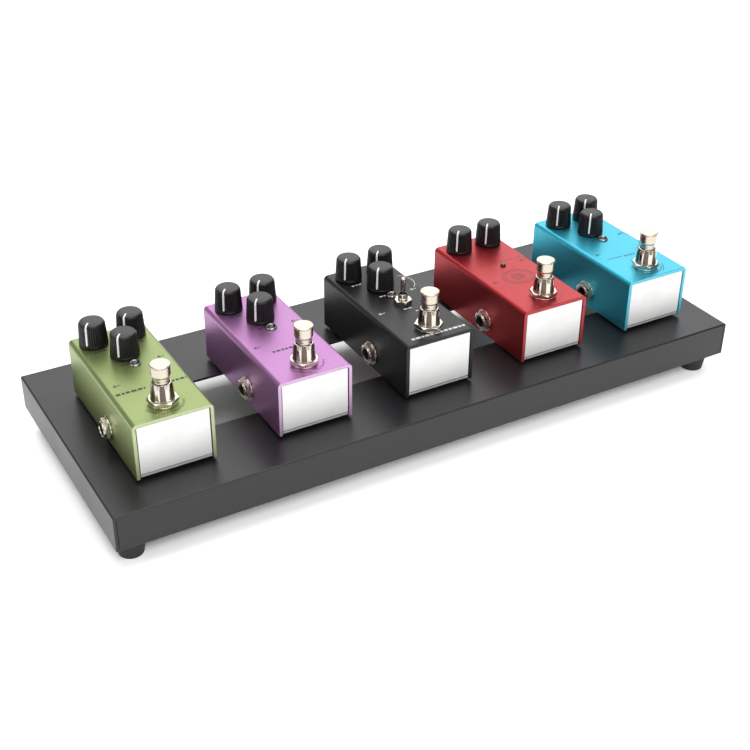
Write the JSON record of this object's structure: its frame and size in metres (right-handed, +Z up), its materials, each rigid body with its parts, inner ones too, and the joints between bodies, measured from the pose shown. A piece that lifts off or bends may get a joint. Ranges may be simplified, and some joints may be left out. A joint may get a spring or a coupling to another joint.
{
  "type": "pedalboard",
  "caption": "Folded-metal pedalboard tray with a long cable slot and rubber feet, carrying a row of mini effect pedals with turning knobs, sprung footswitches and side jacks.",
  "frame": {"origin": "centre of the board's footprint, on the plane the rubber feet stand on", "axes": "+X along the board to the right as the player faces it, +Y from the player's edge to the back, +Z up"},
  "size_m": [0.382, 0.146, 0.0881],
  "materials": {
    "tray_black": "satin powder coat",
    "foot_rubber": "matte",
    "green_anodised": "satin anodised",
    "purple_anodised": "satin anodised",
    "black_anodised": "satin anodised",
    "red_anodised": "satin anodised",
    "cyan_anodised": "satin anodised",
    "bare_aluminium": "fine brushed",
    "circuit_laminate": "solder-masked laminate",
    "nickel_plate": "bright nickel",
    "knob_plastic": "satin, fluted"
  },
  "bodies": {
    "board": {"board_tray": "tray_black", "foot_front_left": "foot_rubber", "foot_back_left": "foot_rubber", "foot_front_right": "foot_rubber", "foot_back_right": "foot_rubber", "green_cover": "green_anodised", "green_chassis": "bare_aluminium", "green_circuit_board": "circuit_laminate", "green_footswitch_body": "nickel_plate", "green_jack_left": "nickel_plate", "green_jack_right": "nickel_plate", "green_led_bezel": "nickel_plate", "purple_cover": "purple_anodised", "purple_chassis": "bare_aluminium", "purple_circuit_board": "circuit_laminate", "purple_footswitch_body": "nickel_plate", "purple_jack_left": "nickel_plate", "purple_jack_right": "nickel_plate", "purple_led_bezel": "nickel_plate", "black_cover": "black_anodised", "black_chassis": "bare_aluminium", "black_circuit_board": "circuit_laminate", "black_footswitch_body": "nickel_plate", "black_jack_left": "nickel_plate", "black_jack_right": "nickel_plate", "black_led_bezel": "nickel_plate", "black_toggle_body": "nickel_plate", "red_cover": "red_anodised", "red_chassis": "bare_aluminium", "red_circuit_board": "circuit_laminate", "red_footswitch_body": "nickel_plate", "red_jack_left": "nickel_plate", "red_jack_right": "nickel_plate", "cyan_cover": "cyan_anodised", "cyan_chassis": "bare_aluminium", "cyan_circuit_board": "circuit_laminate", "cyan_footswitch_body": "nickel_plate", "cyan_jack_left": "nickel_plate", "cyan_jack_right": "nickel_plate", "cyan_led_bezel": "nickel_plate"},
    "green_knob_left": {"green_knob_left": "knob_plastic"},
    "green_knob_right": {"green_knob_right": "knob_plastic"},
    "green_knob_front": {"green_knob_front": "knob_plastic"},
    "green_footswitch_plunger": {"green_footswitch_plunger": "nickel_plate"},
    "purple_knob_left": {"purple_knob_left": "knob_plastic"},
    "purple_knob_right": {"purple_knob_right": "knob_plastic"},
    "purple_knob_front": {"purple_knob_front": "knob_plastic"},
    "purple_footswitch_plunger": {"purple_footswitch_plunger": "nickel_plate"},
    "black_knob_left": {"black_knob_left": "knob_plastic"},
    "black_knob_right": {"black_knob_right": "knob_plastic"},
    "black_knob_front": {"black_knob_front": "knob_plastic"},
    "black_footswitch_plunger": {"black_footswitch_plunger": "nickel_plate"},
    "black_toggle_lever": {"black_toggle_lever": "nickel_plate"},
    "red_knob_left": {"red_knob_left": "knob_plastic"},
    "red_knob_right": {"red_knob_right": "knob_plastic"},
    "red_footswitch_plunger": {"red_footswitch_plunger": "nickel_plate"},
    "cyan_knob_left": {"cyan_knob_left": "knob_plastic"},
    "cyan_knob_right": {"cyan_knob_right": "knob_plastic"},
    "cyan_knob_front": {"cyan_knob_front": "knob_plastic"},
    "cyan_footswitch_plunger": {"cyan_footswitch_plunger": "nickel_plate"}
  },
  "joints": [
    {"name": "green_knob_left_turn", "type": "hinge", "parent": "board", "child": "green_knob_left", "pos_m": [-0.1598, 0.0307, 0.0657], "axis": [0, 0, -1], "range_deg": [0, 270]},
    {"name": "green_knob_right_turn", "type": "hinge", "parent": "board", "child": "green_knob_right", "pos_m": [-0.1392, 0.0307, 0.0657], "axis": [0, 0, -1], "range_deg": [0, 270]},
    {"name": "green_knob_front_turn", "type": "hinge", "parent": "board", "child": "green_knob_front", "pos_m": [-0.1495, 0.0121, 0.0657], "axis": [0, 0, -1], "range_deg": [0, 270]},
    {"name": "green_footswitch_press", "type": "slide", "parent": "board", "child": "green_footswitch_plunger", "axis": [0, 0, -1], "range_m": [0, 0.003], "stiffness_N_per_m": 2500, "springref_m": -0.0012},
    {"name": "purple_knob_left_turn", "type": "hinge", "parent": "board", "child": "purple_knob_left", "pos_m": [-0.0828, 0.0307, 0.0657], "axis": [0, 0, -1], "range_deg": [0, 270]},
    {"name": "purple_knob_right_turn", "type": "hinge", "parent": "board", "child": "purple_knob_right", "pos_m": [-0.0622, 0.0307, 0.0657], "axis": [0, 0, -1], "range_deg": [0, 270]},
    {"name": "purple_knob_front_turn", "type": "hinge", "parent": "board", "child": "purple_knob_front", "pos_m": [-0.0725, 0.0121, 0.0657], "axis": [0, 0, -1], "range_deg": [0, 270]},
    {"name": "purple_footswitch_press", "type": "slide", "parent": "board", "child": "purple_footswitch_plunger", "axis": [0, 0, -1], "range_m": [0, 0.003], "stiffness_N_per_m": 2500, "springref_m": -0.0012},
    {"name": "black_knob_left_turn", "type": "hinge", "parent": "board", "child": "black_knob_left", "pos_m": [-0.0078, 0.0307, 0.0657], "axis": [0, 0, -1], "range_deg": [0, 270]},
    {"name": "black_knob_right_turn", "type": "hinge", "parent": "board", "child": "black_knob_right", "pos_m": [0.0128, 0.0307, 0.0657], "axis": [0, 0, -1], "range_deg": [0, 270]},
    {"name": "black_knob_front_turn", "type": "hinge", "parent": "board", "child": "black_knob_front", "pos_m": [0.0025, 0.0121, 0.0657], "axis": [0, 0, -1], "range_deg": [0, 270]},
    {"name": "black_footswitch_press", "type": "slide", "parent": "board", "child": "black_footswitch_plunger", "axis": [0, 0, -1], "range_m": [0, 0.003], "stiffness_N_per_m": 2500, "springref_m": -0.0012},
    {"name": "black_toggle_flip", "type": "hinge", "parent": "board", "child": "black_toggle_lever", "pos_m": [0.0045, -0.0093, 0.0672], "axis": [0, 1, 0], "range_deg": [-10, 10]},
    {"name": "red_knob_left_turn", "type": "hinge", "parent": "board", "child": "red_knob_left", "pos_m": [0.0677, 0.0307, 0.0657], "axis": [0, 0, -1], "range_deg": [0, 270]},
    {"name": "red_knob_right_turn", "type": "hinge", "parent": "board", "child": "red_knob_right", "pos_m": [0.0883, 0.0307, 0.0657], "axis": [0, 0, -1], "range_deg": [0, 270]},
    {"name": "red_footswitch_press", "type": "slide", "parent": "board", "child": "red_footswitch_plunger", "axis": [0, 0, -1], "range_m": [0, 0.003], "stiffness_N_per_m": 2500, "springref_m": -0.0012},
    {"name": "cyan_knob_left_turn", "type": "hinge", "parent": "board", "child": "cyan_knob_left", "pos_m": [0.1412, 0.0307, 0.0657], "axis": [0, 0, -1], "range_deg": [0, 270]},
    {"name": "cyan_knob_right_turn", "type": "hinge", "parent": "board", "child": "cyan_knob_right", "pos_m": [0.1618, 0.0307, 0.0657], "axis": [0, 0, -1], "range_deg": [0, 270]},
    {"name": "cyan_knob_front_turn", "type": "hinge", "parent": "board", "child": "cyan_knob_front", "pos_m": [0.1515, 0.0121, 0.0657], "axis": [0, 0, -1], "range_deg": [0, 270]},
    {"name": "cyan_footswitch_press", "type": "slide", "parent": "board", "child": "cyan_footswitch_plunger", "axis": [0, 0, -1], "range_m": [0, 0.003], "stiffness_N_per_m": 2500, "springref_m": -0.0012}
  ]
}
